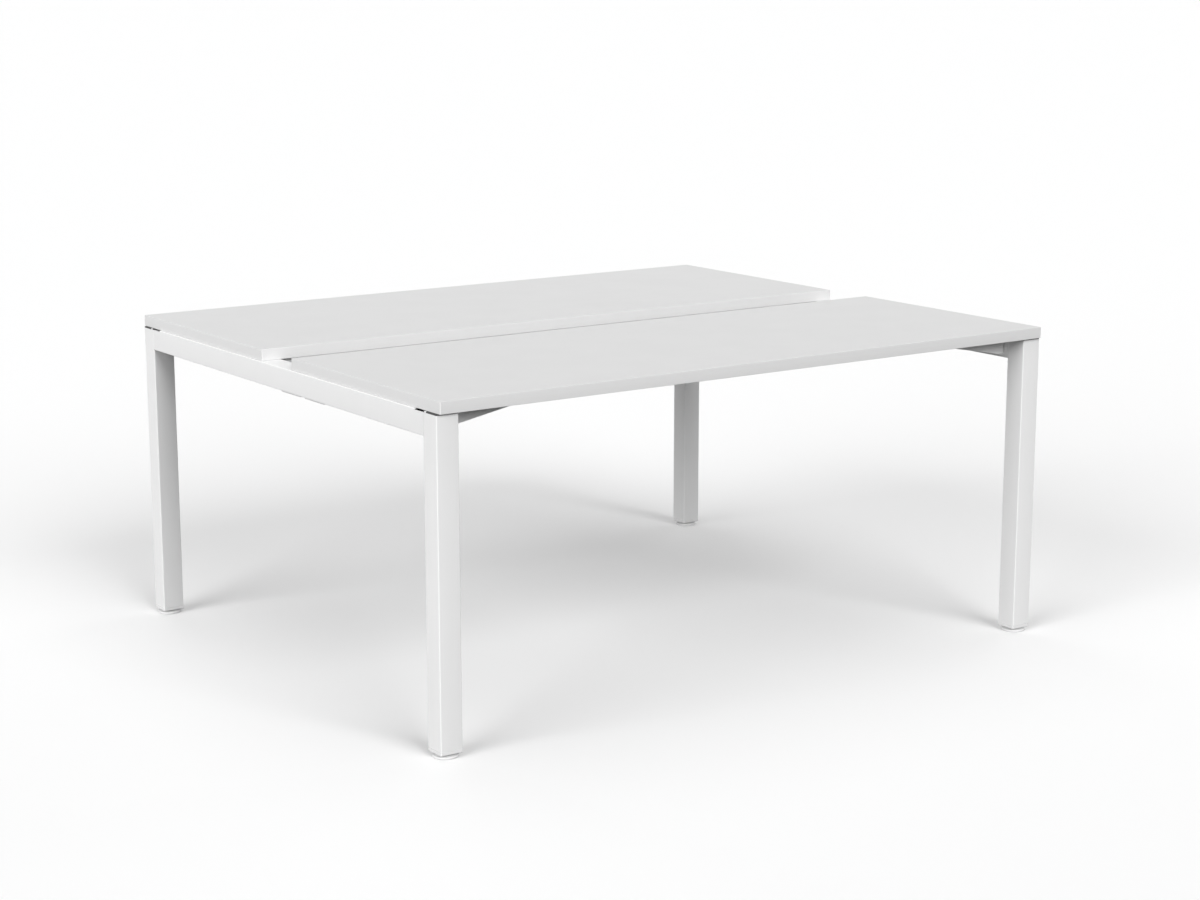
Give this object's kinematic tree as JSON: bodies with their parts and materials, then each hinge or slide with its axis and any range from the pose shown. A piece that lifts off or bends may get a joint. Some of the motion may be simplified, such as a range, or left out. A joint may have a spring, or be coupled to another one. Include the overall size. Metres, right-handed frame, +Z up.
{
  "type": "benching desk",
  "caption": "Face-to-face benching desk: facing worktops either side of a cable gap with steel troughs, on a square tube frame with screw levelling feet.",
  "frame": {"origin": "on the floor, under the middle of the desk", "axes": "+X along the desk's length, +Y towards the rear user, +Z up"},
  "size_m": [1.612, 1.343, 0.72],
  "materials": {
    "worktop_melamine": "white melamine faced board, fine satin",
    "worktop_edging": "white edging, satin",
    "powder_coat": "white powder coat, fine orange peel",
    "black_plastic": "black moulded plastic",
    "white_plastic": "white moulded plastic",
    "zinc_steel": "bright zinc plated"
  },
  "bodies": {
    "frame": {"worktop_front": "worktop_melamine", "edging_front_near": "worktop_edging", "edging_front_far": "worktop_edging", "edging_front_left": "worktop_edging", "edging_front_right": "worktop_edging", "cable_trough_front": "powder_coat", "worktop_rear": "worktop_melamine", "edging_rear_near": "worktop_edging", "edging_rear_far": "worktop_edging", "edging_rear_left": "worktop_edging", "edging_rear_right": "worktop_edging", "cable_trough_rear": "powder_coat", "rail_left": "powder_coat", "rail_right": "powder_coat", "trough_cleat_front_left": "powder_coat", "leg_front_left": "powder_coat", "leg_cap_front_left": "black_plastic", "nut_plate_front_left": "zinc_steel", "frame_bolt_front_left_lower": "zinc_steel", "frame_bolt_front_left_upper": "zinc_steel", "support_bracket_front_left": "powder_coat", "foot_insert_front_left": "white_plastic", "foot_bush_front_left": "zinc_steel", "trough_cleat_rear_left": "powder_coat", "leg_rear_left": "powder_coat", "leg_cap_rear_left": "black_plastic", "nut_plate_rear_left": "zinc_steel", "frame_bolt_rear_left_lower": "zinc_steel", "frame_bolt_rear_left_upper": "zinc_steel", "support_bracket_rear_left": "powder_coat", "foot_insert_rear_left": "white_plastic", "foot_bush_rear_left": "zinc_steel", "trough_cleat_front_right": "powder_coat", "leg_front_right": "powder_coat", "leg_cap_front_right": "black_plastic", "nut_plate_front_right": "zinc_steel", "frame_bolt_front_right_lower": "zinc_steel", "frame_bolt_front_right_upper": "zinc_steel", "support_bracket_front_right": "powder_coat", "foot_insert_front_right": "white_plastic", "foot_bush_front_right": "zinc_steel", "trough_cleat_rear_right": "powder_coat", "leg_rear_right": "powder_coat", "leg_cap_rear_right": "black_plastic", "nut_plate_rear_right": "zinc_steel", "frame_bolt_rear_right_lower": "zinc_steel", "frame_bolt_rear_right_upper": "zinc_steel", "support_bracket_rear_right": "powder_coat", "foot_insert_rear_right": "white_plastic", "foot_bush_rear_right": "zinc_steel"},
    "foot_pad_front_left": {"foot_pad_front_left": "white_plastic"},
    "foot_stem_front_left": {"foot_stem_front_left": "zinc_steel"},
    "foot_pad_rear_left": {"foot_pad_rear_left": "white_plastic"},
    "foot_stem_rear_left": {"foot_stem_rear_left": "zinc_steel"},
    "foot_pad_front_right": {"foot_pad_front_right": "white_plastic"},
    "foot_stem_front_right": {"foot_stem_front_right": "zinc_steel"},
    "foot_pad_rear_right": {"foot_pad_rear_right": "white_plastic"},
    "foot_stem_rear_right": {"foot_stem_rear_right": "zinc_steel"}
  },
  "joints": [
    {"name": "foot_travel_front_left", "type": "slide", "parent": "frame", "child": "foot_pad_front_left", "axis": [0, 0, -1], "range_m": [0, 0.018]},
    {"name": "foot_turn_front_left", "type": "hinge", "parent": "foot_pad_front_left", "child": "foot_stem_front_left", "pos_m": [-0.779, -0.6385, 0.03], "axis": [0, 0, -1], "range_deg": [0, 4320]},
    {"name": "foot_travel_rear_left", "type": "slide", "parent": "frame", "child": "foot_pad_rear_left", "axis": [0, 0, -1], "range_m": [0, 0.018]},
    {"name": "foot_turn_rear_left", "type": "hinge", "parent": "foot_pad_rear_left", "child": "foot_stem_rear_left", "pos_m": [-0.779, 0.6385, 0.03], "axis": [0, 0, -1], "range_deg": [0, 4320]},
    {"name": "foot_travel_front_right", "type": "slide", "parent": "frame", "child": "foot_pad_front_right", "axis": [0, 0, -1], "range_m": [0, 0.018]},
    {"name": "foot_turn_front_right", "type": "hinge", "parent": "foot_pad_front_right", "child": "foot_stem_front_right", "pos_m": [0.779, -0.6385, 0.03], "axis": [0, 0, -1], "range_deg": [0, 4320]},
    {"name": "foot_travel_rear_right", "type": "slide", "parent": "frame", "child": "foot_pad_rear_right", "axis": [0, 0, -1], "range_m": [0, 0.018]},
    {"name": "foot_turn_rear_right", "type": "hinge", "parent": "foot_pad_rear_right", "child": "foot_stem_rear_right", "pos_m": [0.779, 0.6385, 0.03], "axis": [0, 0, -1], "range_deg": [0, 4320]}
  ],
  "couplings": [
    {"joint": "foot_turn_front_left", "follows": "foot_travel_front_left", "rad_per_m": 4188.8},
    {"joint": "foot_turn_rear_left", "follows": "foot_travel_rear_left", "rad_per_m": 4188.8},
    {"joint": "foot_turn_front_right", "follows": "foot_travel_front_right", "rad_per_m": 4188.8},
    {"joint": "foot_turn_rear_right", "follows": "foot_travel_rear_right", "rad_per_m": 4188.8}
  ]
}
